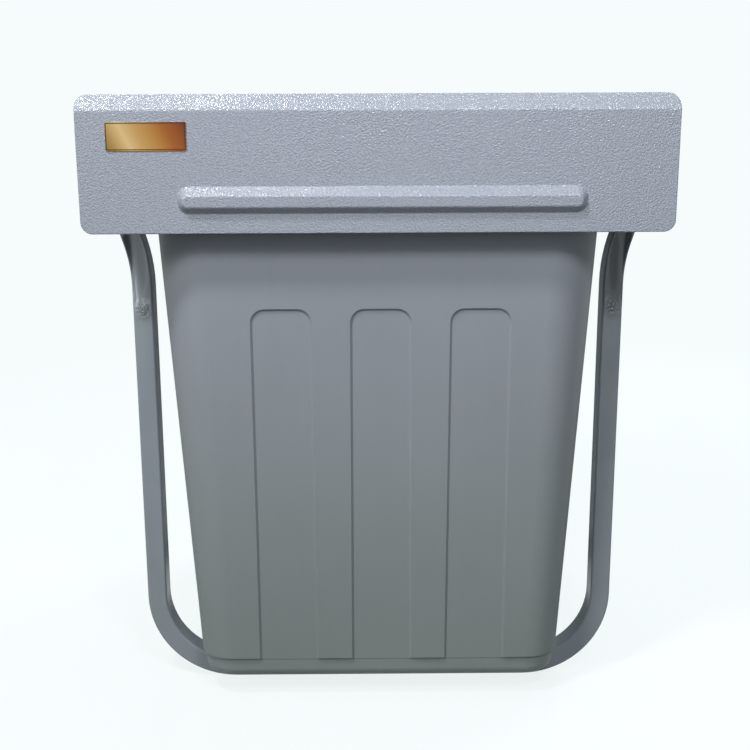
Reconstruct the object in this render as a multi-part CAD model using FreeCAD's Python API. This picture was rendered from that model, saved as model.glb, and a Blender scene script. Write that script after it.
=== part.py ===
import FreeCAD, Part
import math
import os

# Pull-out waste bin for a narrow kitchen cabinet.
# A steel carriage (header plate, two side rails, a rear bar and two bent hoops) runs on a pair of
# ball-bearing slides. A tapered plastic bin stands between the hoops and lifts out by its bail.
# Millimetres. X is to the right, Y is backwards into the cabinet, Z is up.
# "depth" is measured backwards from the flat front of the header. The frame's origin is in the
# middle of the whole part, on the surface that the hoops stand on.

# Carriage tube
carriage_width = 342.6        # over the outer faces of the two side rails
rail_width = 13.0
rail_height = 25.0
rail_wall = 1.5
rail_underside = 342.0        # height of the rails' lower face above the floor
rail_front = 6.0              # depth of the rails' front end
rail_length = 407.0
tube_corner = 1.5             # outer corner radius of every tube
tube_inner_corner = 0.45      # least corner radius inside a tube

# Hoops
hoop_width = 320.2            # over the outer faces of the straight legs
hoop_tube_width = 13.0        # seen from the front
hoop_tube_depth = 16.0        # front to back
hoop_wall = 1.2
hoop_outer_bend = 60.0        # outer radius of the two bottom bends
joggle_height = 65.5          # the legs step outwards over this height, just under the rails
front_hoop_depth = 62.0
hoop_spacing = 200.0          # from the front hoop to the rear hoop
pad_length = 32.0
pad_width = 12.0
pad_thickness = 2.4
pad_corner = 3.6
pad_reach = 70.0              # from the middle of the part to the middle of a pad

# Header plate
header_width = 350.0
header_height = 80.0
header_bottom = 316.0
header_metal = 2.0
header_corner = 7.0
strip_rise = 9.2              # height of the top strip that leans back
strip_lean = 29.7             # degrees from upright
header_bend = 3.0             # outer radius of the crease
header_edge = 0.7             # rounding of the plate's front edges
rib_length = 240.0
rib_width = 15.6
rib_corner = 6.8              # corner radius of the rib's foot
rib_height = 4.0
rib_upper_slope = 5.4         # width of the slope above the crest, seen from the front
rib_lower_slope = 3.8
rib_end_slope = 3.4
rib_offset = 2.5              # the rib's middle lies a little to the right
rib_rise = 19.5               # from the plate's lower edge to the rib's middle
rib_crest_corner = 2.6
rib_round = 1.8               # rounding around the rib's crest
rib_foot_round = 1.0
rib_hollow_lag = 0.25         # the hollow behind is narrower by this share of a slope
plate_length = 46.7
plate_height = 16.2
plate_metal = 0.6
plate_corner = 0.8
plate_groove_corner = 0.35
plate_left = 17.4             # from the header's left edge
plate_rise = 48.1             # from the header's lower edge
plate_border = 0.4
plate_groove = 0.45
plate_groove_depth = 0.12

# Header brackets, studs and nuts
bracket_metal = 2.0
bracket_front_width = 34.0
bracket_side_length = 52.0
bracket_bottom = 322.0
bracket_top = 366.0
bracket_bend = 3.0
bracket_step = 6.0            # flat part of the side flange below the rail
stud_radius = 2.0
stud_length = 9.0
stud_chamfer = 0.4
stud_inset = 17.0             # from the bracket's outer face to the studs
stud_heights = (331.0, 349.0)
nut_flats = 7.0
nut_height = 3.2
nut_flange_radius = 4.4
nut_flange = 1.0
nut_cone_radius = 3.6         # where the flange meets the flats
screw_radius = 2.0
screw_head_radius = 3.8
screw_head_height = 2.0
screw_head_edge = 0.9
screw_recess_radius = 1.5
screw_recess_depth = 1.1
screw_tip = 2.0               # of a bracket screw inside its rail
screw_clearance = 0.25
thread_clearance = 0.03
bracket_screw_depths = (24.0, 42.0)

# Plugs and rear bar
plug_head = 1.5
plug_edge = 0.75
plug_insert = 9.0
plug_insert_corner = 0.75
plug_clearance = 0.2
rear_bar_setback = 0.0        # from the rails' rear end to the rear bar

# Slides
slide_length = 400.0
slide_gap = 12.7              # side space that one slide takes
slide_height = 45.0
slide_inset = 35.0            # depth of the slides' front end
slide_metal = 1.2
slide_play = 0.3              # between neighbouring webs
race_play = 0.15              # between a ball and its race
ball_radius = 1.6
ball_count = 8
cage_web = 0.6
cage_flange = 0.8
cage_reach = 2.2              # of a cage's flange past its balls
cage_start = 105.0            # from the slide's front
cage_length = 190.0
cage_hole_clearance = 0.15
outer_flange_reach = 9.5
outer_lip = 2.0
drawer_flange_play = 0.7      # from the inner cage's web to the drawer member's flanges
inner_ball_setback = 2.2      # from the tips of those flanges to the inner balls' middle
middle_flange_reach = 9.2
fixing_front = 37.0           # first cabinet screw hole from the slide's front
fixing_rear = 43.0            # last cabinet screw hole from the slide's back
fixing_radius = 2.25
access_radius = 5.0
drawer_screw_front = 130.0    # first drawer member screw from the slide's front
drawer_screw_rear = 48.0      # last drawer member screw from the rail's back
drawer_screw_count = 3
drawer_screw_length = 4.6
bumper_length = 4.0
bumper_play = 0.3
bumper_height = 22.0
bumper_edge = 1.2

# Release levers
lever_place = 55.0            # pivot from the slide's front
lever_length = 42.0
lever_root_radius = 4.2
lever_waist = 5.0
lever_tab_radius = 5.0
lever_thickness = 1.6
lever_play = 0.3
rivet_radius = 1.5
rivet_clearance = 0.05
rivet_head_radius = 2.8
rivet_head = 0.8
rivet_head_edge = 0.4

# Bin
bin_height = 356.6
bin_top_width = 283.3
bin_bottom_width = 240.1
bin_top_front = 14.0          # depth of the front wall at the top
bin_top_depth = 316.0
bin_bottom_front = 28.5
bin_bottom_depth = 287.5
bin_top_corner = 34.0
bin_bottom_corner = 22.0
bin_wall = 2.5
bin_floor = 2.5
bin_bottom_round = 6.5
bin_inner_round = 5.5         # between the floor and the walls, inside
band_height = 13.6            # height of the inset base band
band_inset = 1.7
band_slope = 1.2
panel_depth = 1.4
panel_slope = 1.5
panel_top_height = 252.8      # above the bin's underside
panel_top_width = 38.2
panel_bottom_width = 39.8
panel_top_pitch = 61.8
panel_bottom_pitch = 61.6
panel_offset = 1.4            # the middle panel lies a little to the right
panel_corner = 9.0
panel_foot = 5.3              # height where the panels' cut runs out behind the base band
rim_reach = 8.0
rim_drop = 12.0
rim_thickness = 2.5
rim_edge = 2.0

# Bail
wire_radius = 2.0
ear_thickness = 4.0
ear_reach = 5.5               # from the pivot to the ear's rounded top
ear_root = 1.0                # of the ear below the rim's top
ear_overlap = 0.4             # of the ear's inner face over the end of the pin's bend
pivot_rise = 4.5              # of the pivot above the rim
pivot_clearance = 0.06
bail_half_width = 139.5
bail_reach = 142.0            # from the pivot to the cross bar
bail_corner = 24.0
bail_pin_bend = 4.5
bail_pin_length = 11.0
grip_length = 96.0
grip_radius = 6.4
grip_waist = 5.6
grip_clearance = 0.1
grip_edge = 1.3

# Places worked out from the sizes above
rail_outer = carriage_width / 2
rail_inner = rail_outer - rail_width
rail_top = rail_underside + rail_height
rail_back = rail_front + rail_length
slide_axis = rail_underside + rail_height / 2
slide_back = slide_inset + slide_length
slide_wall = rail_outer + slide_gap
bin_underside = hoop_tube_width + pad_thickness
bin_top = bin_underside + bin_height
header_top = header_bottom + header_height
depth_middle = (slide_back - rib_height) / 2

near = 0.01                   # two places this close together are one
spare = 1.0                   # by which a cut runs past what it cuts

os.makedirs("parts", exist_ok=True)


def vec(x, y, z):
    return FreeCAD.Vector(x, y, z)


def save(name, shape):
    """Write one node, moved so that the frame's origin is in the middle of the part's depth."""
    placed = shape.copy()
    placed.translate(vec(0, -depth_middle, 0))
    placed.exportStep("parts/" + name + ".step")


def group(shapes):
    return Part.makeCompound(shapes)


def mirror(shape):
    return shape.mirror(vec(0, 0, 0), vec(1, 0, 0))


def save_pair(name, right):
    save(name + "_right", right)
    save(name + "_left", mirror(right))


def both(right):
    """A right-hand list of solids and its mirror image in one node."""
    return group(right + [mirror(shape) for shape in right])


def box(x0, x1, y0, y1, z0, z1):
    return Part.makeBox(x1 - x0, y1 - y0, z1 - z0, vec(x0, y0, z0))


def rod(radius, length, start, direction):
    return Part.makeCylinder(radius, length, start, direction)


def line(a, b):
    return Part.LineSegment(a, b).toShape()


def arc(centre, radius, a0, a1, place):
    """An arc between two angles in degrees; place turns a flat point into a point in space."""
    points = []
    for angle in (a0, (a0 + a1) / 2, a1):
        turn = math.radians(angle)
        points.append(place(centre[0] + radius * math.cos(turn), centre[1] + radius * math.sin(turn)))
    return Part.Arc(*points).toShape()


def rounded(u0, u1, v0, v1, radius, place):
    """A rectangle with rounded corners as one wire, laid in space by place."""
    edges = [
        line(place(u0 + radius, v0), place(u1 - radius, v0)),
        arc((u1 - radius, v0 + radius), radius, -90, 0, place),
        line(place(u1, v0 + radius), place(u1, v1 - radius)),
        arc((u1 - radius, v1 - radius), radius, 0, 90, place),
        line(place(u1 - radius, v1), place(u0 + radius, v1)),
        arc((u0 + radius, v1 - radius), radius, 90, 180, place),
        line(place(u0, v1 - radius), place(u0, v0 + radius)),
        arc((u0 + radius, v0 + radius), radius, 180, 270, place),
    ]
    return Part.Wire(edges)


def upright(depth):
    """Lay a flat outline in an upright plane that faces the front."""
    return lambda u, v: vec(u, depth, v)


def level(height):
    return lambda u, v: vec(u, v, height)


def sideways(x):
    return lambda u, v: vec(x, u, v)


def prism(wire, direction):
    return Part.Face(wire).extrude(direction)


def edges_where(shape, test):
    return [edge for edge in shape.Edges if test(edge)]


def is_level_at(edge, height):
    return all(abs(vertex.Z - height) < near for vertex in edge.Vertexes)


# Header plate: pressed sheet with a top strip that leans back and one long rib

def header_profile():
    """Side view of the bent sheet, in depth and height."""
    lean = math.radians(strip_lean)
    crease = header_top - strip_rise - header_bend * math.tan(lean / 2)
    inner_bend = header_bend - header_metal
    place = sideways(-header_width / 2)
    front_bend_end = (header_bend * (1 - math.cos(lean)), crease + header_bend * math.sin(lean))
    strip = (header_top - front_bend_end[1]) / math.cos(lean)
    front_top = (front_bend_end[0] + strip * math.sin(lean), header_top)
    back_top = (front_top[0] + header_metal * math.cos(lean), header_top - header_metal * math.sin(lean))
    back_bend_end = (header_bend - inner_bend * math.cos(lean), crease + inner_bend * math.sin(lean))
    centre = (header_bend, crease)
    return Part.Wire([
        line(place(0, header_bottom), place(0, crease)),
        arc(centre, header_bend, 180, 180 - strip_lean, place),
        line(place(*front_bend_end), place(*front_top)),
        line(place(*front_top), place(*back_top)),
        line(place(*back_top), place(*back_bend_end)),
        arc(centre, inner_bend, 180 - strip_lean, 180, place),
        line(place(header_metal, crease), place(header_metal, header_bottom)),
        line(place(header_metal, header_bottom), place(0, header_bottom)),
    ])


def rib_outline(depth, sink):
    """The rib's outline at a depth; sink is 0 at its foot and 1 at its crest."""
    middle = header_bottom + rib_rise
    half = rib_length / 2 - rib_end_slope * sink
    low = middle - rib_width / 2 + rib_lower_slope * sink
    high = middle + rib_width / 2 - rib_upper_slope * sink
    corner = rib_corner + (rib_crest_corner - rib_corner) * sink
    return rounded(rib_offset - half, rib_offset + half, low, high, corner, upright(depth))


def rib_body(front, sink_front, back, sink_back):
    wires = [rib_outline(back, sink_back), rib_outline(front, sink_front)]
    return Part.makeLoft(wires, True, True)


def rib_outline_holds(edge):
    """Whether an edge lies on the rib's foot and not on the plate's own outline."""
    middle = header_bottom + rib_rise
    return all(abs(vertex.Z - middle) < rib_width / 2 + near for vertex in edge.Vertexes) and all(
        abs(vertex.X - rib_offset) < rib_length / 2 + near for vertex in edge.Vertexes)


def header_panel():
    sheet = prism(header_profile(), vec(header_width, 0, 0))
    reach = header_metal + strip_rise
    outline = prism(
        rounded(
            -header_width / 2, header_width / 2, header_bottom, header_top, header_corner, upright(-reach)),
        vec(0, 2 * reach, 0))
    sheet = sheet.common(outline)
    front = edges_where(
        sheet, lambda edge: abs(edge.BoundBox.YMax) < near and is_level_at(edge, header_bottom))
    sheet = sheet.makeFillet(header_edge, front)
    outer = rib_body(-rib_height, 1, 0, 0)
    crest = edges_where(outer, lambda edge: abs(edge.BoundBox.YMax + rib_height) < near)
    outer = outer.makeFillet(rib_round, crest)
    inner = rib_body(header_metal - rib_height, 1 + rib_hollow_lag, header_metal, rib_hollow_lag)
    panel = sheet.fuse(outer)
    foot = edges_where(
        panel,
        lambda edge: abs(edge.BoundBox.YMin) < near and abs(edge.BoundBox.YMax) < near
        and rib_outline_holds(edge))
    panel = panel.makeFillet(rib_foot_round, foot)
    return panel.cut(inner).removeSplitter()


def name_plate():
    """Blank brass plate with an engraved border line, stuck on the header."""
    left = plate_left - header_width / 2
    low = header_bottom + plate_rise

    def slab(inset, corner, depth, thickness):
        outline = rounded(
            left + inset, left + plate_length - inset, low + inset, low + plate_height - inset,
            corner, upright(depth))
        return prism(outline, vec(0, thickness, 0))

    body = slab(0, plate_corner, -plate_metal, plate_metal)
    outer = slab(plate_border, plate_groove_corner, -plate_metal, plate_groove_depth)
    inner = slab(plate_border + plate_groove, plate_groove_corner, -plate_metal, plate_groove_depth)
    return body.cut(outer.cut(inner))


# Brackets that carry the header on the side rails

def stud_x():
    return rail_inner - stud_inset


def header_bracket():
    """Right-hand angle: front flange on the header's back, side flange on the rail's inner face."""
    front = header_metal
    outer = rail_inner
    inner = outer - bracket_metal
    place = level(bracket_bottom)
    inner_bend = bracket_bend - bracket_metal
    corner = (outer - bracket_bend, front + bracket_bend)
    start = outer - bracket_front_width
    end = front + bracket_side_length
    wire = Part.Wire([
        line(place(start, front), place(corner[0], front)),
        arc(corner, bracket_bend, -90, 0, place),
        line(place(outer, corner[1]), place(outer, end)),
        line(place(outer, end), place(inner, end)),
        line(place(inner, end), place(inner, corner[1])),
        arc(corner, inner_bend, 0, -90, place),
        line(place(corner[0], front + bracket_metal), place(start, front + bracket_metal)),
        line(place(start, front + bracket_metal), place(start, front)),
    ])
    bracket = prism(wire, vec(0, 0, bracket_top - bracket_bottom))
    flange_back = front + bracket_bend + bracket_step
    bracket = bracket.cut(box(
        inner - spare, outer + spare, flange_back, end + spare, bracket_bottom - spare, rail_underside))
    hole = stud_radius + screw_clearance
    for height in stud_heights:
        bracket = bracket.cut(rod(
            hole, bracket_metal + 2 * spare, vec(stud_x(), front - spare, height), vec(0, 1, 0)))
    for depth in bracket_screw_depths:
        bracket = bracket.cut(rod(
            screw_radius + screw_clearance, bracket_metal + 2 * spare, vec(inner - spare, depth, slide_axis),
            vec(1, 0, 0)))
    return bracket


def header_studs():
    """Threaded studs welded to the back of the header."""
    studs = []
    for height in stud_heights:
        stud = rod(stud_radius, stud_length, vec(stud_x(), header_metal, height), vec(0, 1, 0))
        tip = edges_where(stud, lambda edge: abs(edge.BoundBox.YMin - header_metal - stud_length) < near)
        studs.append(stud.makeChamfer(stud_chamfer, tip))
    return studs


def nut(depth, height):
    """Hexagon nut with a flange, turned on to a stud."""
    corner = nut_flats / math.sqrt(3)
    points = []
    for i in range(7):
        turn = math.radians(60 * i)
        points.append(vec(stud_x() + corner * math.cos(turn), depth, height + corner * math.sin(turn)))
    body = prism(Part.makePolygon(points), vec(0, nut_flange + nut_height, 0))
    centre = vec(stud_x(), depth, height)
    cone = Part.makeCone(nut_flange_radius, nut_cone_radius, nut_flange, centre, vec(0, 1, 0))
    body = body.fuse(cone)
    return body.cut(rod(stud_radius + thread_clearance, nut_flange + nut_height, centre, vec(0, 1, 0)))


def header_nuts():
    return [nut(header_metal + bracket_metal, height) for height in stud_heights]


def pan_screw(start, direction, length):
    """Pan-head screw whose head sits on start and whose shank runs along direction."""
    shank = rod(screw_radius, length, start, direction)
    back = start - direction * screw_head_height
    head = rod(screw_head_radius, screw_head_height, back, direction)
    rim = edges_where(head, lambda edge: (edge.CenterOfMass - back).Length < near)
    head = head.makeFillet(screw_head_edge, rim)
    recess = rod(screw_recess_radius, screw_recess_depth, back, direction)
    return head.fuse(shank).cut(recess).removeSplitter()


def bracket_screws():
    x = rail_inner - bracket_metal
    return [
        pan_screw(vec(x, depth, slide_axis), vec(1, 0, 0), bracket_metal + rail_wall + screw_tip)
        for depth in bracket_screw_depths
    ]


# Carriage tubes

def tube_section(u0, u1, v0, v1, wall, corner, place, along):
    outer = prism(rounded(u0, u1, v0, v1, corner, place), along)
    inner_corner = max(corner - wall, tube_inner_corner)
    inner = prism(rounded(u0 + wall, u1 - wall, v0 + wall, v1 - wall, inner_corner, place), along)
    return outer.cut(inner)


def drawer_screw_depths():
    """Depths of the screws that hold a drawer member on its rail."""
    first = slide_inset + drawer_screw_front
    last = rail_back - drawer_screw_rear
    pitch = (last - first) / (drawer_screw_count - 1)
    return [first + pitch * i for i in range(drawer_screw_count)]


def side_rail():
    rail = tube_section(
        rail_inner, rail_outer, rail_underside, rail_top, rail_wall, tube_corner, upright(rail_front),
        vec(0, rail_length, 0))
    hole = screw_radius + thread_clearance
    for depth in bracket_screw_depths:
        start = vec(rail_inner - spare, depth, slide_axis)
        rail = rail.cut(rod(hole, rail_wall + 2 * spare, start, vec(1, 0, 0)))
    for depth in drawer_screw_depths():
        start = vec(rail_outer - rail_wall - spare, depth, slide_axis)
        rail = rail.cut(rod(hole, rail_wall + 2 * spare, start, vec(1, 0, 0)))
    return rail


def rear_cross_bar():
    back = rail_back - rear_bar_setback
    return tube_section(
        back - rail_width, back, rail_underside, rail_top, rail_wall, tube_corner, sideways(-rail_inner),
        vec(2 * rail_inner, 0, 0))


def end_plug(depth, outwards):
    """Plastic cap pushed into the end of a rail; outwards is -1 at the front and 1 at the back."""
    head = prism(
        rounded(rail_inner, rail_outer, rail_underside, rail_top, tube_corner, upright(depth)),
        vec(0, outwards * plug_head, 0))
    rim = edges_where(head, lambda edge: abs(edge.CenterOfMass.y - depth - outwards * plug_head) < near)
    head = head.makeFillet(plug_edge, rim)
    gap = rail_wall + plug_clearance
    insert = prism(
        rounded(
            rail_inner + gap, rail_outer - gap, rail_underside + gap, rail_top - gap, plug_insert_corner,
            upright(depth)),
        vec(0, -outwards * plug_insert, 0))
    return head.fuse(insert).removeSplitter()


def rail_end_plugs():
    return [end_plug(rail_front, -1), end_plug(rail_back, 1)]


def hoop_half_edges(offset, depth):
    """Right half of the hoop's outline, from the rail down to the middle, offset from its centre line."""
    place = upright(depth)
    half = hoop_tube_width / 2
    leg = hoop_width / 2 - half
    top = rail_outer - rail_width / 2
    shift = top - leg
    turn = 2 * math.degrees(math.atan2(shift, joggle_height))
    radius = joggle_height / (2 * math.sin(math.radians(turn)))
    low = rail_underside - joggle_height
    bend = hoop_outer_bend - half
    return [
        arc((top - radius, rail_underside), radius + offset, 0, -turn, place),
        arc((leg + radius, low), radius - offset, 180 - turn, 180, place),
        line(place(leg + offset, low), place(leg + offset, hoop_outer_bend)),
        arc((leg - bend, hoop_outer_bend), bend + offset, 0, -90, place),
        line(place(leg - bend, half - offset), place(0, half - offset)),
    ]


def hoop_solid(half_width, depth, length):
    place = upright(depth)
    top = rail_outer - rail_width / 2
    right = Part.Wire(
        hoop_half_edges(half_width, depth)
        + [line(place(0, hoop_tube_width / 2 - half_width), place(0, hoop_tube_width / 2 + half_width))]
        + list(reversed(hoop_half_edges(-half_width, depth)))
        + [line(place(top - half_width, rail_underside), place(top + half_width, rail_underside))])
    half = prism(right, vec(0, length, 0))
    return half.fuse(mirror(half)).removeSplitter()


def hoop(depth):
    """One rectangular tube bent to a U, with its legs stepped outwards to meet the rails."""
    outer = hoop_solid(hoop_tube_width / 2, depth, hoop_tube_depth)
    long_edges = edges_where(
        outer,
        lambda edge: edge.BoundBox.YLength < near and not is_level_at(edge, rail_underside))
    outer = outer.makeFillet(tube_corner, long_edges)
    inner = hoop_solid(
        hoop_tube_width / 2 - hoop_wall, depth + hoop_wall, hoop_tube_depth - 2 * hoop_wall)
    return outer.cut(inner)


def hoop_pads():
    pads = []
    for depth in (front_hoop_depth, front_hoop_depth + hoop_spacing):
        middle = depth + hoop_tube_depth / 2
        pad = prism(
            rounded(
                pad_reach - pad_length / 2, pad_reach + pad_length / 2, middle - pad_width / 2,
                middle + pad_width / 2, pad_corner, level(hoop_tube_width)),
            vec(0, 0, pad_thickness))
        pads.append(pad)
    return pads


# Slides. "u" is measured from the cabinet's side towards the middle, "v" up from the slide's axis.

outer_race = slide_height / 2 - slide_metal
outer_ball_v = outer_race - race_play - ball_radius
middle_top = outer_ball_v - ball_radius - race_play
middle_race = middle_top - slide_metal
inner_ball_v = middle_race - race_play - ball_radius
drawer_top = inner_ball_v - ball_radius - race_play
outer_cage_u = slide_metal + slide_play
middle_u = outer_cage_u + cage_web + slide_play
outer_ball_u = middle_u + slide_metal + ball_radius
inner_cage_u = middle_u + slide_metal + slide_play
drawer_flange_u = inner_cage_u + cage_web + drawer_flange_play
inner_ball_u = drawer_flange_u + inner_ball_setback
moving_length = slide_length - bumper_length - bumper_play


def slide_bar(u0, u1, v0, v1, length=slide_length, start=0.0):
    """A right-hand bar of the slide's section."""
    depth = slide_inset + start
    return box(slide_wall - u1, slide_wall - u0, depth, depth + length, slide_axis + v0, slide_axis + v1)


def channel(web_u, metal, flange_u0, flange_u1, top, flange, length, start=0.0):
    """A web with a flange along its upper and lower edge."""
    web = slide_bar(web_u, web_u + metal, -top, top, length, start)
    upper = slide_bar(flange_u0, flange_u1, top - flange, top, length, start)
    lower = slide_bar(flange_u0, flange_u1, -top, flange - top, length, start)
    return web.fuse([upper, lower]).removeSplitter()


def cross_hole(shape, place, radius):
    start = vec(slide_wall - slide_gap - spare, slide_inset + place, slide_axis)
    return shape.cut(rod(radius, slide_gap + 2 * spare, start, vec(1, 0, 0)))


def cabinet_member():
    half = slide_height / 2
    member = channel(0, slide_metal, 0, outer_flange_reach, half, slide_metal, slide_length)
    for sign in (-1, 1):
        v0, v1 = sorted((sign * half, sign * (half - slide_metal - outer_lip)))
        member = member.fuse(slide_bar(outer_flange_reach - slide_metal, outer_flange_reach, v0, v1))
    member = member.removeSplitter()
    for place in (fixing_front, slide_length - fixing_rear):
        member = cross_hole(member, place, fixing_radius)
    return member


def intermediate_member():
    member = channel(
        middle_u, slide_metal, middle_u, middle_flange_reach, middle_top, slide_metal, moving_length)
    for place in (fixing_front, slide_length - fixing_rear):
        member = cross_hole(member, place, access_radius)
    return member


def drawer_member():
    member = channel(
        slide_gap - slide_metal, slide_metal, drawer_flange_u, slide_gap, drawer_top, slide_metal,
        moving_length)
    for place in (fixing_front, slide_length - fixing_rear):
        member = cross_hole(member, place, access_radius)
    for depth in drawer_screw_depths():
        member = cross_hole(member, depth - slide_inset, screw_radius + screw_clearance)
    return cross_hole(member, lever_place, rivet_radius + thread_clearance)


def ball_places():
    pitch = cage_length / ball_count
    return [cage_start + pitch * (i + 0.5) for i in range(ball_count)]


def cage(web_u, ball_u, ball_v):
    top = ball_v + cage_flange / 2
    shape = channel(
        web_u, cage_web, web_u, ball_u + cage_reach, top, cage_flange, cage_length, cage_start)
    x = slide_wall - ball_u
    for place in ball_places():
        start = vec(x, slide_inset + place, slide_axis - slide_height / 2)
        shape = shape.cut(rod(ball_radius + cage_hole_clearance, slide_height, start, vec(0, 0, 1)))
    return shape


def balls(ball_u, ball_v):
    x = slide_wall - ball_u
    return group([
        Part.makeSphere(ball_radius, vec(x, slide_inset + place, slide_axis + sign * ball_v))
        for place in ball_places() for sign in (-1, 1)
    ])


def drawer_member_screws():
    x = slide_wall - (slide_gap - slide_metal)
    return [
        pan_screw(vec(x, depth, slide_axis), vec(-1, 0, 0), drawer_screw_length)
        for depth in drawer_screw_depths()
    ]


def cabinet_bumper():
    """Rubber stop at the back of the cabinet member."""
    body = slide_bar(
        slide_metal, slide_gap - slide_metal, -bumper_height / 2, bumper_height / 2, bumper_length,
        slide_length - bumper_length)
    return body.makeFillet(bumper_edge, edges_where(body, lambda edge: edge.BoundBox.XLength > near))


def lever_u():
    return slide_gap - slide_metal - lever_play - lever_thickness


def release_lever():
    """Flat plastic lever with a round root on the rivet and a thumb tab at its end."""
    x = slide_wall - lever_u() - lever_thickness
    root = slide_inset + lever_place
    tab = root + lever_length
    through = vec(1, 0, 0)
    arm = box(x, x + lever_thickness, root, tab, slide_axis - lever_waist / 2, slide_axis + lever_waist / 2)
    lever = arm.fuse([
        rod(lever_root_radius, lever_thickness, vec(x, root, slide_axis), through),
        rod(lever_tab_radius, lever_thickness, vec(x, tab, slide_axis), through),
    ]).removeSplitter()
    hole = rod(
        rivet_radius + rivet_clearance, lever_thickness + 2 * spare, vec(x - spare, root, slide_axis),
        through)
    return lever.cut(hole)


def lever_rivet():
    """Rivet fixed in the drawer member's web, with its head over the lever."""
    start = vec(rail_outer, slide_inset + lever_place, slide_axis)
    head_x = slide_wall - lever_u() + lever_play
    pin = rod(rivet_radius, head_x - rail_outer, start, vec(1, 0, 0))
    head = rod(rivet_head_radius, rivet_head, vec(head_x, start.y, start.z), vec(1, 0, 0))
    rim = edges_where(head, lambda edge: edge.CenterOfMass.x > head_x + rivet_head - near)
    return pin.fuse(head.makeFillet(rivet_head_edge, rim)).removeSplitter()


# Bin

def bin_place(height, inset=0.0):
    """The bin's outline at a height above its underside: half width, front, back and corner."""
    t = height / bin_height
    half = (bin_bottom_width + (bin_top_width - bin_bottom_width) * t) / 2
    front = bin_bottom_front + (bin_top_front - bin_bottom_front) * t
    depth = bin_bottom_depth + (bin_top_depth - bin_bottom_depth) * t
    corner = bin_bottom_corner + (bin_top_corner - bin_bottom_corner) * t
    return half - inset, front + inset, front + depth - inset, corner - inset


def bin_ring(height, inset=0.0):
    half, front, back, corner = bin_place(height, inset)
    return rounded(-half, half, front, back, corner, level(bin_underside + height))


def rim_ring(reach):
    """Outline around the bin's mouth at the rim's lower edge."""
    half, front, back, corner = bin_place(bin_height)
    return rounded(
        -half - reach, half + reach, front - reach, back + reach, corner + reach,
        level(bin_top - rim_drop))


def bin_panel_wire(centre, inset, sink):
    """One panel's outline, laid sink below the leaning front wall and narrowed by inset."""
    rise = panel_top_height
    lean = (bin_top_front - bin_bottom_front) / bin_height

    def place(u, v):
        return vec(u, bin_bottom_front + lean * v + sink, bin_underside + v)

    t = panel_top_height / bin_height
    top_half = panel_top_width / 2 - inset
    low_half = panel_bottom_width / 2 - inset
    top_x = panel_offset + centre * (panel_bottom_pitch + (panel_top_pitch - panel_bottom_pitch) * t)
    low_x = panel_offset + centre * panel_bottom_pitch
    top = rise - inset
    radius = panel_corner - inset
    return Part.Wire([
        line(place(low_x - low_half, panel_foot), place(low_x + low_half, panel_foot)),
        line(place(low_x + low_half, panel_foot), place(top_x + top_half, top - radius)),
        arc((top_x + top_half - radius, top - radius), radius, 0, 90, place),
        line(place(top_x + top_half - radius, top), place(top_x - top_half + radius, top)),
        arc((top_x - top_half + radius, top - radius), radius, 90, 180, place),
        line(place(top_x - top_half, top - radius), place(low_x - low_half, panel_foot)),
    ])


def bin_ear():
    """Right-hand ear on the rim, with the bail's pivot hole."""
    x0 = ear_inner()
    pivot = bin_top + pivot_rise
    middle = bin_middle()
    post = box(
        x0, x0 + ear_thickness, middle - ear_reach, middle + ear_reach, bin_top - ear_root, pivot)
    dome = rod(ear_reach, ear_thickness, vec(x0, middle, pivot), vec(1, 0, 0))
    return post.fuse(dome).removeSplitter()


def ear_inner():
    return bail_half_width + bail_pin_bend - ear_overlap


def bin_middle():
    return bin_top_front + bin_top_depth / 2


def bin_body():
    rings = [
        bin_ring(0, band_inset),
        bin_ring(band_height, band_inset),
        bin_ring(band_height + band_slope),
        bin_ring(bin_height),
    ]
    body = Part.makeLoft(rings, True, True)
    skirt = prism(rim_ring(rim_reach), vec(0, 0, rim_drop))
    top_edge = edges_where(skirt, lambda edge: is_level_at(edge, bin_top))
    skirt = skirt.makeFillet(rim_edge, top_edge)
    under = prism(rim_ring(rim_reach - rim_thickness), vec(0, 0, rim_drop - rim_thickness))
    foot = edges_where(body, lambda edge: is_level_at(edge, bin_underside))
    body = body.makeFillet(bin_bottom_round, foot)
    body = body.fuse(skirt.cut(under))
    body = body.fuse([bin_ear(), mirror(bin_ear())])
    for centre in (-1, 0, 1):
        tool = Part.makeLoft(
            [bin_panel_wire(centre, 0, -near), bin_panel_wire(centre, panel_slope, panel_depth)], True, True)
        body = body.cut(tool)
    cavity = Part.makeLoft(
        [bin_ring(bin_floor, bin_wall + band_inset), bin_ring(bin_height, bin_wall)], True, True)
    inner_foot = edges_where(cavity, lambda edge: is_level_at(edge, bin_underside + bin_floor))
    cavity = cavity.makeFillet(bin_inner_round, inner_foot)
    body = body.cut(cavity)
    pivot = vec(-bin_top_width, bin_middle(), bin_top + pivot_rise)
    return body.cut(rod(wire_radius + pivot_clearance, 2 * bin_top_width, pivot, vec(1, 0, 0)))


def bail_wire():
    """Round wire: a pin turned out at each end, two legs and a cross bar."""
    place = level(bin_top + pivot_rise)
    middle = bin_middle()
    far = middle + bail_reach
    leg = bail_half_width
    bend = bail_pin_bend
    pin = leg + bail_pin_length

    def half(side):
        def at(u, v):
            return place(side * u, v)
        return [
            line(at(pin, middle), at(leg + bend, middle)),
            arc((leg + bend, middle + bend), bend, 270, 180, at),
            line(at(leg, middle + bend), at(leg, far - bail_corner)),
            arc((leg - bail_corner, far - bail_corner), bail_corner, 0, 90, at),
        ]

    right = half(1)
    left = half(-1)
    bar = [line(place(leg - bail_corner, far), place(bail_corner - leg, far))]
    spine = Part.Wire(right + bar + list(reversed(left)))
    section = Part.Wire([Part.makeCircle(wire_radius, place(pin, middle), vec(1, 0, 0))])
    return spine.makePipeShell([section], True, False)


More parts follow.
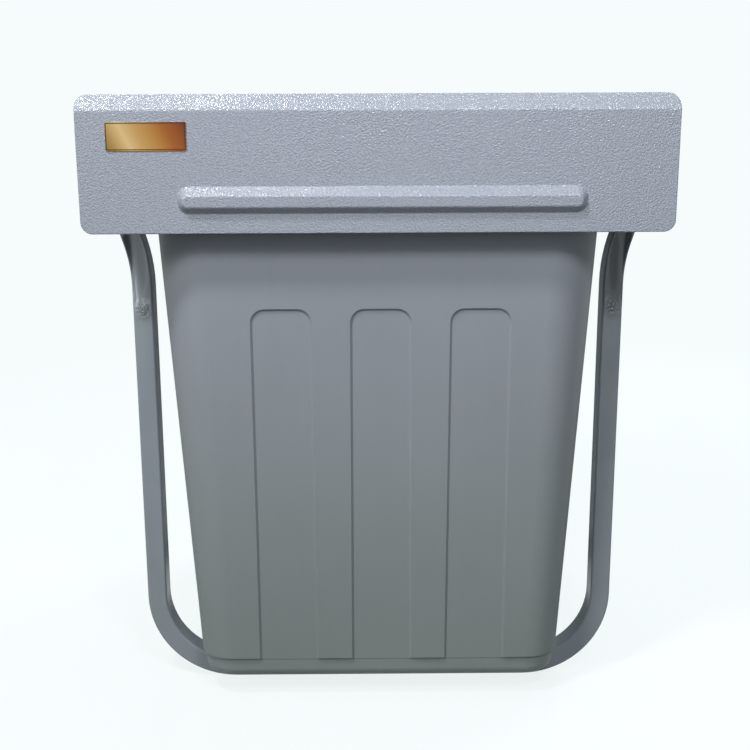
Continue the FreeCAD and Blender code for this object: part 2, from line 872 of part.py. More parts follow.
def handle_grip():
    """Plastic grip on the middle of the bail, slightly waisted."""
    half = grip_length / 2
    bore = wire_radius + grip_clearance
    centre = vec(0, bin_middle() + bail_reach, bin_top + pivot_rise)

    def place(u, v):
        return vec(u, centre.y + v, centre.z)

    outline = Part.Wire([
        line(place(-half, bore), place(-half, grip_radius)),
        Part.Arc(place(-half, grip_radius), place(0, grip_waist), place(half, grip_radius)).toShape(),
        line(place(half, grip_radius), place(half, bore)),
        line(place(half, bore), place(-half, bore)),
    ])
    grip = Part.Face(outline).revolve(centre, vec(1, 0, 0), 360)
    rims = edges_where(
        grip,
        lambda edge: abs(abs(edge.CenterOfMass.x) - half) < near and edge.BoundBox.ZLength > 2 * bore + near)
    return grip.makeFillet(grip_edge, rims)


save("header_panel", header_panel())
save("name_plate", name_plate())
save_pair("header_bracket", header_bracket())
save("header_studs", both(header_studs()))
save("header_nuts", both(header_nuts()))
save("bracket_screws", both(bracket_screws()))
save_pair("side_rail", side_rail())
save("rear_cross_bar", rear_cross_bar())
save("rail_end_plugs", both(rail_end_plugs()))
save("front_hoop", hoop(front_hoop_depth))
save("rear_hoop", hoop(front_hoop_depth + hoop_spacing))
save("hoop_pads", both(hoop_pads()))
save_pair("drawer_member", drawer_member())
save("drawer_member_screws", both(drawer_member_screws()))
save_pair("intermediate_member", intermediate_member())
save_pair("cabinet_member", cabinet_member())
save_pair("outer_cage", cage(outer_cage_u, outer_ball_u, outer_ball_v))
save_pair("inner_cage", cage(inner_cage_u, inner_ball_u, inner_ball_v))
save_pair("outer_balls", balls(outer_ball_u, outer_ball_v))
save_pair("inner_balls", balls(inner_ball_u, inner_ball_v))
save_pair("release_lever", release_lever())
save("lever_rivets", both([lever_rivet()]))
save("cabinet_bumpers", both([cabinet_bumper()]))
save("bin_body", bin_body())
save("bin_handle", bail_wire())
save("handle_grip", handle_grip())
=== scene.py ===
import math
import bpy
from mathutils import Matrix, Vector


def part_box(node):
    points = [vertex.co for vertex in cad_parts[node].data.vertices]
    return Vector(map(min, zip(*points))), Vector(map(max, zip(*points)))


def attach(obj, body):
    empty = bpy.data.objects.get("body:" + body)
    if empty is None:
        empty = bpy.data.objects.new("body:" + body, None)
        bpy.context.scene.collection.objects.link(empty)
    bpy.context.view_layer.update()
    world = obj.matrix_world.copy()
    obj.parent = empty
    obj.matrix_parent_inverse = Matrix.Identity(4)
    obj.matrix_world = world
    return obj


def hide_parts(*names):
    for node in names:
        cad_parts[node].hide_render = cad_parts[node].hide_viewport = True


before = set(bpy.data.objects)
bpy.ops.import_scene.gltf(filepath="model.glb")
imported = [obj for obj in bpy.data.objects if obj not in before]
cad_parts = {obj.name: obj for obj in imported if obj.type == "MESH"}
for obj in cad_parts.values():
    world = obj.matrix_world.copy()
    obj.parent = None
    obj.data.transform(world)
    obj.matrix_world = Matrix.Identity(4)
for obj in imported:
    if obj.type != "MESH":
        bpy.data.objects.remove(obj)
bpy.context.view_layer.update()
MM = 0.001
bpy.ops.object.select_all(action="DESELECT")

# Header plate.
# A bent steel sheet with one long pressed rib, sprayed with hammer-finish powder and baked. The powder
# flows into soft pebbles about 1 mm across and a few pimples, and its pigment settles in the hollows.
pebble_size = 0.95 * MM
pebble_slant = 28
pebble_squeeze = (0.85, 1, 1)
pebble_relief = 0.38 * MM
pimple_spacing = 7.0 * MM
pimple_height = 0.45
thickness_drift = 45 * MM
crest_colour = "#A1A7B2"
hollow_colour = "#939BA6"
settling = 0.24


def linear(code):
    """An sRGB hex colour as linear red, green, blue and alpha."""
    parts = [int(code[i:i + 2], 16) / 255 for i in (1, 3, 5)]
    return [c / 12.92 if c <= 0.04045 else ((c + 0.055) / 1.055) ** 2.4 for c in parts] + [1]


def add(material, kind, settings=None, links=None):
    """Add one node. Lower-case settings are the node's own, the rest are its input sockets."""
    made = material.node_tree.nodes.new(kind)
    for name, value in (settings or {}).items():
        if isinstance(name, str) and name[0].islower():
            setattr(made, name, value)
        else:
            made.inputs[name].default_value = value
    for name, socket in (links or {}).items():
        material.node_tree.links.new(socket, made.inputs[name])
    return made


def new_material(name):
    """A material with its nodes cleared, and the place on the object as a socket."""
    material = bpy.data.materials.new(name)
    material.use_nodes = True
    material.node_tree.nodes.clear()
    place = add(material, "ShaderNodeTexCoord").outputs["Object"]
    return material, place


def close(material, shader):
    add(material, "ShaderNodeOutputMaterial", links={"Surface": shader.outputs[0]})
    return material


def dress(material, *names):
    """Give CAD nodes a material."""
    for name in names:
        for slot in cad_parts[name].material_slots:
            slot.material = material


def mix_colour(material, factor, low, high):
    return add(material, "ShaderNodeMix", {"data_type": "RGBA", 6: linear(low), 7: linear(high)},
               {0: factor}).outputs[2]


def hammer_powder_coat():
    material, place = new_material("hammer_powder_coat")
    slant = add(material, "ShaderNodeMapping", {"Rotation": (0, math.radians(pebble_slant), 0),
                "Scale": pebble_squeeze}, {"Vector": place})
    pebbles = add(material, "ShaderNodeTexNoise", {"Scale": 1 / pebble_size, "Detail": 0.4,
                  "Roughness": 0.45, "Distortion": 0.3}, {"Vector": slant.outputs[0]})
    cells = add(material, "ShaderNodeTexVoronoi", {"feature": "SMOOTH_F1", "Scale": 1 / pimple_spacing,
                "Smoothness": 0.2, "Randomness": 1.0}, {"Vector": place})
    pimples = add(material, "ShaderNodeMapRange", {"interpolation_type": "SMOOTHSTEP", "From Min": 0.15,
                  "From Max": 0.0, "To Max": pimple_height}, {"Value": cells.outputs["Distance"]})
    patches = add(material, "ShaderNodeTexNoise", {"Scale": 1 / thickness_drift, "Detail": 1.0},
                  {"Vector": place})
    depth = add(material, "ShaderNodeMapRange", {"From Min": 0.35, "From Max": 0.65, "To Min": 0.8,
                "To Max": 1.2}, {"Value": patches.outputs["Fac"]})
    relief = add(material, "ShaderNodeMath", {"operation": "MULTIPLY"},
                 {0: pebbles.outputs["Fac"], 1: depth.outputs[0]})
    height = add(material, "ShaderNodeMath", {"operation": "ADD"},
                 {0: relief.outputs[0], 1: pimples.outputs[0]})
    bump = add(material, "ShaderNodeBump", {"Strength": 1.0, "Distance": pebble_relief},
               {"Height": height.outputs[0]})
    paleness = add(material, "ShaderNodeMapRange", {"From Min": 0.5 - settling / 2,
                   "From Max": 0.5 + settling / 2}, {"Value": pebbles.outputs["Fac"]})
    drift = add(material, "ShaderNodeMix", {0: 0.12}, {2: paleness.outputs[0], 3: patches.outputs["Fac"]})
    colour = mix_colour(material, drift.outputs[0], hollow_colour, crest_colour)
    return close(material, add(material, "ShaderNodeBsdfPrincipled", {"Roughness": 0.24, "IOR": 1.5},
                 {"Base Color": colour, "Normal": bump.outputs[0]}))


header_coat = hammer_powder_coat()
dress(header_coat, "header_panel")

# Name plate.
# A blank brass tag stuck on the header, brushed lengthwise. Its colour is a painted reflection: a diagonal
# sweep from dark gold through a bright band to dark brown at one end.
# A border line is engraved round it and filled with dark enamel.
# These brass tones are a painted reflection with a painted highlight band, not the metal's own colour.
brass_reflection_left = "#8A6636"
brass_reflection_tones = ((0.1, "#A27F48"), (0.27, "#C9AB78"), (0.42, "#B58F57"), (0.6, "#A5763B"),
               (0.74, "#945829"), (0.9, "#7F4322"))
brass_reflection_right = "#63311A"
enamel_colour = "#1C130D"
brush_width = 0.25 * MM
brush_depth = 0.03 * MM
brush_stretch = (0.02, 1, 1)
enamel_middle = 0.62 * MM
enamel_half = 0.26 * MM


def brushed_brass():
    material, place = new_material("brushed_brass")
    low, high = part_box("name_plate")
    along = add(material, "ShaderNodeSeparateXYZ", links={"Vector": place})
    lean = add(material, "ShaderNodeMath", {"operation": "MULTIPLY_ADD", 1: 0.5, 2: -low.z / 2},
               {0: along.outputs["Z"]})
    slanted = add(material, "ShaderNodeMath", {"operation": "ADD"},
                  {0: along.outputs["X"], 1: lean.outputs[0]})
    # The colour ramp along this slanted sweep is the painted reflection, with its painted highlight band
    # about a quarter along.
    tone = add(material, "ShaderNodeMapRange", {"From Min": low.x,
               "From Max": high.x + (high.z - low.z) / 2}, {"Value": slanted.outputs[0]})
    ramp = add(material, "ShaderNodeValToRGB", links={"Fac": tone.outputs[0]})
    bar = ramp.color_ramp
    bar.elements[0].color = linear(brass_reflection_left)
    bar.elements[1].color = linear(brass_reflection_right)
    for spot, code in brass_reflection_tones:
        bar.elements.new(spot).color = linear(code)
    inwards = []
    for axis, start, end in (("X", low.x, high.x), ("Z", low.z, high.z)):
        middle = (start + end) / 2
        half = (end - start) / 2
        offset = add(material, "ShaderNodeMath", {"operation": "SUBTRACT", 1: middle},
                     {0: along.outputs[axis]})
        size = add(material, "ShaderNodeMath", {"operation": "ABSOLUTE"}, {0: offset.outputs[0]})
        inwards.append(add(material, "ShaderNodeMath", {"operation": "SUBTRACT", 0: half},
                           {1: size.outputs[0]}).outputs[0])
    edge = add(material, "ShaderNodeMath", {"operation": "MINIMUM"}, {0: inwards[0], 1: inwards[1]})
    enamel = add(material, "ShaderNodeMath", {"operation": "COMPARE", 1: enamel_middle, 2: enamel_half},
                 {0: edge.outputs[0]})
    colour = add(material, "ShaderNodeMix", {"data_type": "RGBA", 7: linear(enamel_colour)},
                 {0: enamel.outputs[0], 6: ramp.outputs[0]})
    metal = add(material, "ShaderNodeMapRange", {"To Min": 0.85, "To Max": 0.0},
                {"Value": enamel.outputs[0]})
    stretched = add(material, "ShaderNodeMapping", {"Scale": brush_stretch}, {"Vector": place})
    lines = add(material, "ShaderNodeTexNoise", {"Scale": 1 / brush_width, "Detail": 2},
                {"Vector": stretched.outputs[0]})
    bump = add(material, "ShaderNodeBump", {"Strength": 0.3, "Distance": brush_depth},
               {"Height": lines.outputs["Fac"]})
    return close(material, add(material, "ShaderNodeBsdfPrincipled", {"Roughness": 0.34},
                 {"Base Color": colour.outputs[2], "Metallic": metal.outputs[0],
                  "Normal": bump.outputs[0]}))


dress(brushed_brass(), "name_plate")

# Tube frame: hoops, side rails and rear bar.
# Bent and cut rectangular steel tube, welded, with a smoother satin coat of a darker grey.
# Where the legs bend outwards the front wall is pressed in a little, and the coat gathers in pebbles.
frame_colour = "#8F979E"
frame_shade = "#80888F"
peel_size = 0.9 * MM
peel_relief = 0.25 * MM
spray_drift = 30 * MM
bead_size = 1.6 * MM
bead_relief = 2.6 * MM
bead_patch = (153.2 * MM, 261.5 * MM, 7 * MM, 9 * MM)
dent_depth = 8 * MM
dent_wedge = (158.0 * MM, 291 * MM, 9 * MM, 36 * MM)


def satin_powder_coat():
    material, place = new_material("satin_powder_coat")
    peel = add(material, "ShaderNodeTexNoise", {"Scale": 1 / peel_size, "Detail": 2, "Roughness": 0.5},
               {"Vector": place})
    patches = add(material, "ShaderNodeTexNoise", {"Scale": 1 / spray_drift, "Detail": 2}, {"Vector": place})
    depth = add(material, "ShaderNodeMapRange", {"interpolation_type": "SMOOTHSTEP", "From Min": 0.45,
                "From Max": 0.72, "To Min": 0.14, "To Max": 0.5}, {"Value": patches.outputs["Fac"]})
    flat = add(material, "ShaderNodeSeparateXYZ", links={"Vector": place})
    side = add(material, "ShaderNodeMath", {"operation": "ABSOLUTE"}, {0: flat.outputs["X"]})
    from_middle = add(material, "ShaderNodeCombineXYZ",
                      links={"X": side.outputs[0], "Z": flat.outputs["Z"]})

    def spot(x, z, width, height):
        """A soft mask about one place in front view, the same on both sides of the part."""
        offset = add(material, "ShaderNodeVectorMath", {"operation": "SUBTRACT", 1: (x, 0, z)},
                     {0: from_middle.outputs[0]})
        scaled = add(material, "ShaderNodeVectorMath", {"operation": "MULTIPLY",
                     1: (1 / width, 0, 1 / height)}, {0: offset.outputs[0]})
        away = add(material, "ShaderNodeVectorMath", {"operation": "LENGTH"}, {0: scaled.outputs[0]})
        return add(material, "ShaderNodeMapRange", {"interpolation_type": "SMOOTHSTEP", "From Min": 1.0,
                   "From Max": 0.0}, {"Value": away.outputs["Value"]}).outputs[0]

    height = add(material, "ShaderNodeMath", {"operation": "MULTIPLY"},
                 {0: peel.outputs["Fac"], 1: depth.outputs[0]})
    coat = add(material, "ShaderNodeBump", {"Strength": 0.5, "Distance": peel_relief},
               {"Height": height.outputs[0]})
    beads = add(material, "ShaderNodeTexNoise", {"Scale": 1 / bead_size, "Detail": 1.0, "Distortion": 0.6},
                {"Vector": place})
    gathered = add(material, "ShaderNodeMath", {"operation": "MULTIPLY"},
                   {0: beads.outputs["Fac"], 1: spot(*bead_patch)})
    pebbles = add(material, "ShaderNodeBump", {"Strength": 1.0, "Distance": bead_relief},
                  {"Height": gathered.outputs[0], "Normal": coat.outputs[0]})
    dent = add(material, "ShaderNodeBump", {"invert": True, "Strength": 1.0, "Distance": dent_depth},
               {"Height": spot(*dent_wedge), "Normal": pebbles.outputs[0]})
    colour = mix_colour(material, patches.outputs["Fac"], frame_shade, frame_colour)
    return close(material, add(material, "ShaderNodeBsdfPrincipled", {"Roughness": 0.25, "IOR": 1.5},
                 {"Base Color": colour, "Normal": dent.outputs[0]}))


frame_coat = satin_powder_coat()
dress(frame_coat, "front_hoop", "rear_hoop", "side_rail_left", "side_rail_right", "rear_cross_bar")

# Weld beads: hoops to rails and rear bar to rails.
# Short MIG fillets, laid drop over drop in the corners and painted over with the tubes.
# The drops are 1.4 mm apart and stop just short of the tubes' rounded edges.
drop_pitch = 1.4 * MM
drop_radius = 1.9 * MM
drop_flatness = 0.62
bead_end_gap = 1.6 * MM
skin_voxel = 0.28 * MM


def weld_bead(name, start, end):
    """A row of overlapping flattened drops between two points of one corner."""
    start, end = Vector(start), Vector(end)
    along = (end - start).normalized()
    start, end = start + along * bead_end_gap, end - along * bead_end_gap
    count = int((end - start).length / drop_pitch) + 1
    step = (end - start) / (count - 1)
    bpy.ops.mesh.primitive_uv_sphere_add(segments=16, ring_count=10, radius=drop_radius, location=(0, 0, 0))
    bead = bpy.context.object
    bead.name = name
    bpy.ops.transform.resize(value=(1, 1, drop_flatness))
    bead.rotation_mode = "QUATERNION"
    bead.rotation_quaternion = Vector((0, 0, 1)).rotation_difference(along)
    bead.location = start
    bpy.ops.object.transform_apply(location=True, rotation=True, scale=True)
    row = bead.modifiers.new("row", "ARRAY")
    row.count = count
    row.use_relative_offset = False
    row.use_constant_offset = True
    row.constant_offset_displace = step
    bpy.ops.object.modifier_apply(modifier="row")
    skin = bead.modifiers.new("skin", "REMESH")
    skin.mode = "VOXEL"
    skin.voxel_size = skin_voxel
    bpy.ops.object.modifier_apply(modifier="skin")
    bpy.ops.object.shade_smooth()
    bead.data.materials.append(frame_coat)
    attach(bead, "carriage")


rail_low, rail_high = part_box("side_rail_right")
for hoop in ("front_hoop", "rear_hoop"):
    hoop_low, hoop_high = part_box(hoop)
    for side, sign in (("left", -1), ("right", 1)):
        for face, depth in (("front", hoop_low.y), ("back", hoop_high.y)):
            weld_bead("weld_%s_%s_%s" % (hoop, side, face),
                      (sign * rail_low.x, depth, rail_low.z), (sign * rail_high.x, depth, rail_low.z))
bar_low, bar_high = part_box("rear_cross_bar")
for side, sign in (("left", -1), ("right", 1)):
    weld_bead("weld_rear_bar_" + side, (sign * bar_high.x, bar_low.y, bar_low.z),
              (sign * bar_high.x, bar_low.y, bar_high.z))

# Slides, brackets and cages.
# Cold-rolled strip, roll-formed and bright zinc plated, with the faint lines of the rolling.
# The cages are thinner strip and carry a film of grease.
rolling_line = 0.4 * MM
rolling_depth = 0.02 * MM
rolling_stretch = (1, 0.03, 1)
stain_size = 30 * MM


def zinc_plate(name, bright, dull, roughness):
    material, place = new_material(name)
    stretched = add(material, "ShaderNodeMapping", {"Scale": rolling_stretch}, {"Vector": place})
    lines = add(material, "ShaderNodeTexNoise", {"Scale": 1 / rolling_line, "Detail": 3},
                {"Vector": stretched.outputs[0]})
    stains = add(material, "ShaderNodeTexNoise", {"Scale": 1 / stain_size, "Detail": 2}, {"Vector": place})
    colour = mix_colour(material, stains.outputs["Fac"], dull, bright)
    gloss = add(material, "ShaderNodeMapRange", {"To Min": roughness - 0.06, "To Max": roughness + 0.08},
                {"Value": stains.outputs["Fac"]})
    bump = add(material, "ShaderNodeBump", {"Strength": 0.25, "Distance": rolling_depth},
               {"Height": lines.outputs["Fac"]})
    return close(material, add(material, "ShaderNodeBsdfPrincipled", {"Metallic": 1.0},
                 {"Base Color": colour, "Roughness": gloss.outputs[0], "Normal": bump.outputs[0]}))


strip_zinc = zinc_plate("zinc_plated_strip", "#C9CDD1", "#BABEC3", 0.34)
cage_zinc = zinc_plate("greased_cage_strip", "#A8AAA8", "#949694", 0.28)
for side in ("left", "right"):
    dress(strip_zinc, "cabinet_member_" + side, "intermediate_member_" + side, "drawer_member_" + side,
          "header_bracket_" + side)
    dress(cage_zinc, "outer_cage_" + side, "inner_cage_" + side)

# Balls.
# Polished bearing steel, with a trace of grease that dulls the shine a little.
# They sit in the cages' holes.
grease_film = 1.2 * MM


def bearing_steel():
    material, place = new_material("polished_bearing_steel")
    film = add(material, "ShaderNodeTexNoise", {"Scale": 1 / grease_film, "Detail": 2}, {"Vector": place})
    gloss = add(material, "ShaderNodeMapRange", {"To Min": 0.06, "To Max": 0.22},
                {"Value": film.outputs["Fac"]})
    return close(material, add(material, "ShaderNodeBsdfPrincipled", {"Metallic": 1.0,
                 "Base Color": linear("#C4C6CA")}, {"Roughness": gloss.outputs[0]}))


ball_steel = bearing_steel()
for side in ("left", "right"):
    dress(ball_steel, "outer_balls_" + side, "inner_balls_" + side)

# Studs, nuts and lever rivets.
# Small turned and cold-headed steel parts, zinc plated; the studs carry a rolled M4 thread.
# The thread's 0.7 mm pitch is drawn as rings, from a wave pattern that is 0.314 m long at a scale of 1.
thread_pitch = 0.7 * MM
thread_depth = 0.25 * MM
wave_length = 0.314
fastener_zinc = zinc_plate("zinc_plated_fastener", "#D0D3D6", "#B0B4B8", 0.28)
dress(fastener_zinc, "header_nuts", "lever_rivets")


def threaded_zinc():
    material, place = new_material("zinc_plated_thread")
    rings = add(material, "ShaderNodeTexWave", {"bands_direction": "Y",
                "Scale": wave_length / thread_pitch}, {"Vector": place})
    bump = add(material, "ShaderNodeBump", {"Strength": 0.9, "Distance": thread_depth},
               {"Height": rings.outputs["Fac"]})
    return close(material, add(material, "ShaderNodeBsdfPrincipled", {"Metallic": 1.0, "Roughness": 0.32,
                 "Base Color": linear("#C4C8CC")}, {"Normal": bump.outputs[0]}))


dress(threaded_zinc(), "header_studs")

# Cross-recess screws in the brackets and the drawer members.
# M4 pan heads with a pressed cross, cold-headed and zinc plated, on a rolled thread.
# Head, shank and recess follow the sizes of the plain screws that they replace.
screw_head_radius = 3.8 * MM
screw_head_height = 2.0 * MM
screw_head_round = 0.9 * MM
screw_core = 1.72 * MM
screw_crest = 1.98 * MM
cross_width = 0.9 * MM
cross_reach = 2.1 * MM
cross_depth = 1.2 * MM
bracket_screw_length = 5.5 * MM
member_screw_length = 4.6 * MM
bracket_screw_places = ((0.1563, -0.1915), (0.1563, -0.1735))
member_screw_places = ((0.1725, -0.0505), (0.1725, 0.0495), (0.1725, 0.1495))
screw_height = 0.3545
crease_angle = 35


def cross_screw(x, y, heading, length):
    """One screw along X whose head sits on x and whose shank runs along heading, 1 or -1."""
    bpy.ops.mesh.primitive_cylinder_add(vertices=40, radius=screw_head_radius, depth=screw_head_height,
                                        location=(0, 0, -screw_head_height / 2))
    screw = bpy.context.object
    bpy.ops.object.transform_apply(location=True, rotation=True, scale=True)
    bpy.ops.object.mode_set(mode="EDIT")
    bpy.ops.mesh.select_mode(type="FACE")
    bpy.ops.mesh.select_all(action="DESELECT")
    bpy.ops.object.mode_set(mode="OBJECT")
    for face in screw.data.polygons:
        face.select = face.normal.z < -0.9
    bpy.ops.object.mode_set(mode="EDIT")
    bpy.ops.mesh.bevel(offset=screw_head_round, segments=5, affect="EDGES")
    bpy.ops.object.mode_set(mode="OBJECT")
    for turn in (0, 90):
        bpy.ops.mesh.primitive_cube_add(size=1, location=(0, 0, -screw_head_height))
        cutter = bpy.context.object
        cutter.scale = (2 * cross_reach, cross_width, 2 * cross_depth)
        cutter.rotation_euler = (0, 0, math.radians(turn))
        bpy.ops.object.transform_apply(location=True, rotation=True, scale=True)
        cut = screw.modifiers.new("cross", "BOOLEAN")
        cut.operation = "DIFFERENCE"
        cut.object = cutter
        bpy.context.view_layer.objects.active = screw
        bpy.ops.object.modifier_apply(modifier="cross")
        bpy.data.objects.remove(cutter)
    rings = int(length / thread_pitch)
    bpy.ops.mesh.primitive_cylinder_add(vertices=32, radius=screw_core, depth=length,
                                        location=(0, 0, length / 2))
    parts = [screw, bpy.context.object]
    for ring in range(rings):
        bpy.ops.mesh.primitive_torus_add(major_segments=32, minor_segments=8, major_radius=screw_core,
                                         minor_radius=screw_crest - screw_core,
                                         location=(0, 0, (ring + 0.6) * thread_pitch))
        parts.append(bpy.context.object)
    bpy.ops.object.select_all(action="DESELECT")
    for part in parts:
        part.select_set(True)
    bpy.context.view_layer.objects.active = screw
    bpy.ops.object.join()
    screw.rotation_euler = (0, math.radians(90 * heading), 0)
    screw.location = (x, y, screw_height)
    bpy.ops.object.transform_apply(location=True, rotation=True, scale=True)
    bpy.ops.object.shade_smooth_by_angle(angle=math.radians(crease_angle))
    return screw


def screw_set(name, node, places, heading, length):
    """Both sides' screws of one kind as one piece that stands for its CAD node."""
    screws = [cross_screw(sign * x, y, sign * heading, length) for sign in (-1, 1) for x, y in places]
    bpy.ops.object.select_all(action="DESELECT")
    for screw in screws:
        screw.select_set(True)
    bpy.context.view_layer.objects.active = screws[0]
    bpy.ops.object.join()
    joined = bpy.context.object
    joined.name = name
    joined.data.materials.clear()
    joined.data.materials.append(fastener_zinc)
    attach(joined, "carriage")
    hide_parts(node)


screw_set("bracket_cross_screws", "bracket_screws", bracket_screw_places, 1, bracket_screw_length)
screw_set("member_cross_screws", "drawer_member_screws", member_screw_places, -1, member_screw_length)

# Small plastic and rubber parts: levers, rail plugs, pads, bumpers and the bail's grip.
# Injection moulded from dark plastics with a fine spark-eroded grain, or cut from black rubber.
# The grain is finer than a pixel, so it is drawn at twice its real size.
grain_size = 0.35 * MM
rubber_grain = 0.5 * MM
shade_drift = 60 * MM


def moulded(name, light, dark, roughness, grain, depth):
    material, place = new_material(name)
    spots = add(material, "ShaderNodeTexNoise", {"Scale": 1 / grain, "Detail": 3}, {"Vector": place})
    drift = add(material, "ShaderNodeTexNoise", {"Scale": 1 / shade_drift, "Detail": 3}, {"Vector": place})
    colour = mix_colour(material, drift.outputs["Fac"], dark, light)
    bump = add(material, "ShaderNodeBump", {"Strength": 0.35, "Distance": depth},
               {"Height": spots.outputs["Fac"]})
    gloss = add(material, "ShaderNodeMapRange", {"To Min": roughness - 0.05, "To Max": roughness + 0.06},
                {"Value": drift.outputs["Fac"]})
    return close(material, add(material, "ShaderNodeBsdfPrincipled", {"IOR": 1.49},
                 {"Base Color": colour, "Roughness": gloss.outputs[0], "Normal": bump.outputs[0]}))


black_acetal = moulded("black_acetal", "#232427", "#1A1B1D", 0.42, grain_size, 0.05 * MM)
grey_polyethylene = moulded("grey_polyethylene", "#3A3D41", "#303236", 0.5, grain_size, 0.06 * MM)
black_rubber = moulded("black_rubber", "#232323", "#1B1B1C", 0.78, rubber_grain, 0.1 * MM)
dress(black_acetal, "release_lever_left", "release_lever_right")
dress(grey_polyethylene, "rail_end_plugs")
dress(black_rubber, "hoop_pads", "cabinet_bumpers")

# Bin.
# One polypropylene moulding in mid grey: tapered walls, three sunk panels, a rolled rim with ears.
# The mould's fine grain makes it matt. Towards the foot it is painted a little darker and greener: painted
# shade for the light that falls off towards the floor.
bin_light = "#979CA4"
bin_dark = "#888E93"
# The two foot colours are painted shade: darker, greener copies of the bin colours for its lower part.
foot_light_painted_shade = "#88918F"
foot_dark_painted_shade = "#7A8381"
bin_grain = 0.6 * MM
bin_grain_depth = 0.08 * MM
bin_drift = 110 * MM
flow_streak = 9 * MM
flow_stretch = (1, 1, 0.12)
painted_shade_fade = (20 * MM, 270 * MM)


def grained_polypropylene():
    material, place = new_material("grained_polypropylene")
    grain = add(material, "ShaderNodeTexNoise", {"Scale": 1 / bin_grain, "Detail": 3, "Roughness": 0.6},
                {"Vector": place})
    drift = add(material, "ShaderNodeTexNoise", {"Scale": 1 / bin_drift, "Detail": 2}, {"Vector": place})
    flow = add(material, "ShaderNodeMapping", {"Scale": flow_stretch}, {"Vector": place})
    streaks = add(material, "ShaderNodeTexNoise", {"Scale": 1 / flow_streak, "Detail": 3},
                  {"Vector": flow.outputs[0]})
    blend = add(material, "ShaderNodeMix", {0: 0.35}, {2: drift.outputs["Fac"], 3: streaks.outputs["Fac"]})
    upright = add(material, "ShaderNodeSeparateXYZ", links={"Vector": place})
    # From about 270 mm down to 20 mm the colour blends into the foot colours: painted shade, darker towards
    # the bottom.
    height = add(material, "ShaderNodeMapRange", {"interpolation_type": "SMOOTHSTEP",
                 "From Min": painted_shade_fade[0], "From Max": painted_shade_fade[1]}, {"Value": upright.outputs["Z"]})
    colour = add(material, "ShaderNodeMix", {"data_type": "RGBA"}, {0: height.outputs[0],
                 6: mix_colour(material, blend.outputs[0], foot_dark_painted_shade, foot_light_painted_shade),
                 7: mix_colour(material, blend.outputs[0], bin_dark, bin_light)}).outputs[2]
    gloss = add(material, "ShaderNodeMapRange", {"To Min": 0.46, "To Max": 0.62},
                {"Value": streaks.outputs["Fac"]})
    bump = add(material, "ShaderNodeBump", {"Strength": 0.4, "Distance": bin_grain_depth},
               {"Height": grain.outputs["Fac"]})
    return close(material, add(material, "ShaderNodeBsdfPrincipled", {"IOR": 1.49},
                 {"Base Color": colour, "Roughness": gloss.outputs[0], "Normal": bump.outputs[0]}))


bin_plastic = grained_polypropylene()
dress(bin_plastic, "bin_body")

# Bail.
# Galvanised round wire with a moulded grip threaded on its middle.
# The wire is dull and slightly cloudy from the dip.
bail_zinc = zinc_plate("galvanised_wire", "#B9BDC1", "#989CA0", 0.42)
dress(bail_zinc, "bin_handle")
dress(grey_polyethylene, "handle_grip")

# Floor and backdrop.
# A pale sweep under and behind the object; it isn't part of it.
# The camera sees it near white with a soft shadow, but it throws little light back on to the object.
floor_reach = 6.0
backdrop_colour = "#F6FCFC"
floor_colour = "#3F4540"
fleck_colours = ("#666868", "#6C6E6E")
fibre_size = 3 * MM
floor_glow = 0.865
fade_start = 0.45
fade_end = 1.3
bpy.ops.mesh.primitive_plane_add(size=2 * floor_reach, location=(0, 0, 0))
floor = bpy.context.object
floor.name = "floor"
bpy.ops.object.transform_apply(location=True, rotation=True, scale=True)


def seen_rays(owner):
    """1 for the camera's own rays and for those that metal or glass sends on, 0 for the others."""
    rays = add(owner, "ShaderNodeLightPath")
    shiny = add(owner, "ShaderNodeMath", {"operation": "MAXIMUM"},
                {0: rays.outputs["Is Camera Ray"], 1: rays.outputs["Is Glossy Ray"]})
    return add(owner, "ShaderNodeMath", {"operation": "MAXIMUM"},
               {0: shiny.outputs[0], 1: rays.outputs["Is Transmission Ray"]}).outputs[0]


paper, place = new_material("pale_paper")
seen = seen_rays(paper)
fibres = add(paper, "ShaderNodeTexNoise", {"Scale": 1 / fibre_size, "Detail": 2}, {"Vector": place})
flecks = mix_colour(paper, fibres.outputs["Fac"], *fleck_colours)
shade = add(paper, "ShaderNodeMix", {"data_type": "RGBA", 6: linear(floor_colour)}, {0: seen, 7: flecks})
matt = add(paper, "ShaderNodeBsdfDiffuse", links={"Color": shade.outputs[2]})
glow_strength = add(paper, "ShaderNodeMath", {"operation": "MULTIPLY", 1: floor_glow}, {0: seen})
glow = add(paper, "ShaderNodeEmission", {"Color": linear(backdrop_colour)},
           {"Strength": glow_strength.outputs[0]})
lit = add(paper, "ShaderNodeAddShader", links={0: matt.outputs[0], 1: glow.outputs[0]})
reach = add(paper, "ShaderNodeVectorMath", {"operation": "LENGTH"}, {0: place})
fade = add(paper, "ShaderNodeMapRange", {"interpolation_type": "SMOOTHSTEP", "From Min": fade_start,
           "From Max": fade_end}, {"Value": reach.outputs["Value"]})
far = add(paper, "ShaderNodeEmission", {"Color": linear(backdrop_colour)}, {"Strength": seen})
close(paper, add(paper, "ShaderNodeMixShader",
                 links={0: fade.outputs[0], 1: lit.outputs[0], 2: far.outputs[0]}))
floor.data.materials.append(paper)

# Room light.
# A small softbox above the front lights the header, one left of it puts the shine on the strip, and one
# far to the left shapes the panels. A dim one fills in, and two behind light the back and the right.
room_colour = "#E8EDEC"
room_strength = 0.08
world = bpy.data.worlds.new("studio")
bpy.context.scene.world = world
world.use_nodes = True
world.node_tree.nodes.clear()
room = add(world, "ShaderNodeBackground", {"Color": linear(room_colour), "Strength": room_strength})
white = add(world, "ShaderNodeBackground", {"Color": linear(backdrop_colour)})
choice = add(world, "ShaderNodeMixShader",
             links={0: seen_rays(world), 1: room.outputs[0], 2: white.outputs[0]})
add(world, "ShaderNodeOutputWorld", links={"Surface": choice.outputs[0]})


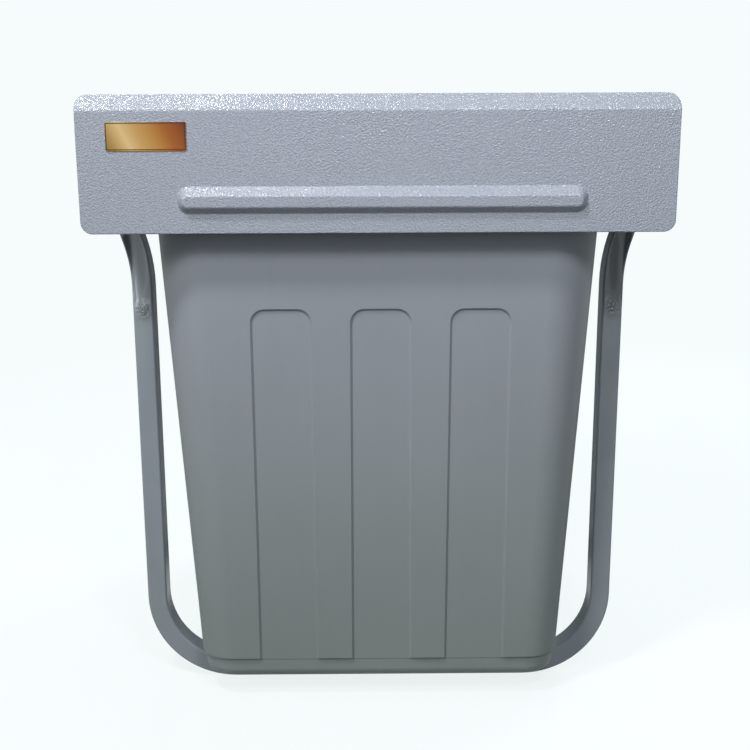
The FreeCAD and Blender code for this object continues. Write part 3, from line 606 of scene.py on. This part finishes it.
def softbox(name, centre, target, width, height, power, colour):
    """A soft lamp at centre, turned to target. Its power is in watts."""
    bpy.ops.object.light_add(type="AREA", location=centre)
    lamp = bpy.context.object
    lamp.name = name
    lamp.data.shape = "RECTANGLE"
    lamp.data.size = width
    lamp.data.size_y = height
    lamp.data.energy = power
    lamp.data.color = linear(colour)[:3]
    lamp.rotation_mode = "QUATERNION"
    lamp.rotation_quaternion = (Vector(target) - Vector(centre)).to_track_quat("-Z", "Y")


softbox("key_box", (0.2, -0.95, 0.98), (0.02, -0.2, 0.25), 0.2, 0.2, 4.5, "#F9FAFF")
softbox("strip_box", (-0.38, -0.65, 1.19), (-0.15, -0.21, 0.39), 0.12, 0.14, 6.6, "#FFFFFF")
softbox("side_box", (-2.4, -2.3, 2.0), (0, -0.2, 0.2), 1.0, 1.0, 46, "#FFFFFF")
softbox("fill_box", (0.15, -1.8, 0.6), (0, -0.2, 0.3), 0.8, 0.8, 2.8, "#F4F7FF")
softbox("back_box", (0, 1.9, 1.5), (0, 0, 0.25), 1.4, 1.2, 26, "#F4F7FF")
softbox("rear_right_box", (1.6, 1.4, 1.5), (0, 0, 0.2), 1.0, 1.0, 38, "#F4F7FF")

# Camera.
# It stands where the photograph was taken from: just above the header's middle, looking down.
# Its place is measured from the header's front face.
focal_pixels = 1100
image_side = 750
pitch, yaw, roll = 12.611, 0.337, 0.240
stand_off = 649.66 * MM
camera_x = -6.32 * MM
camera_height = 375.92 * MM
header_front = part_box("name_plate")[1].y
bpy.ops.object.camera_add()
camera = bpy.context.object
camera.data.lens = camera.data.sensor_width * focal_pixels / image_side
camera.data.clip_start = 0.01
camera.matrix_world = (
    Matrix.Translation((camera_x, header_front - stand_off, camera_height))
    @ Matrix.Rotation(math.radians(-yaw), 4, "Z")
    @ Matrix.Rotation(math.radians(90 - pitch), 4, "X")
    @ Matrix.Rotation(math.radians(-roll), 4, "Z"))
bpy.context.scene.camera = camera
bpy.context.scene.view_settings.view_transform = "Standard"
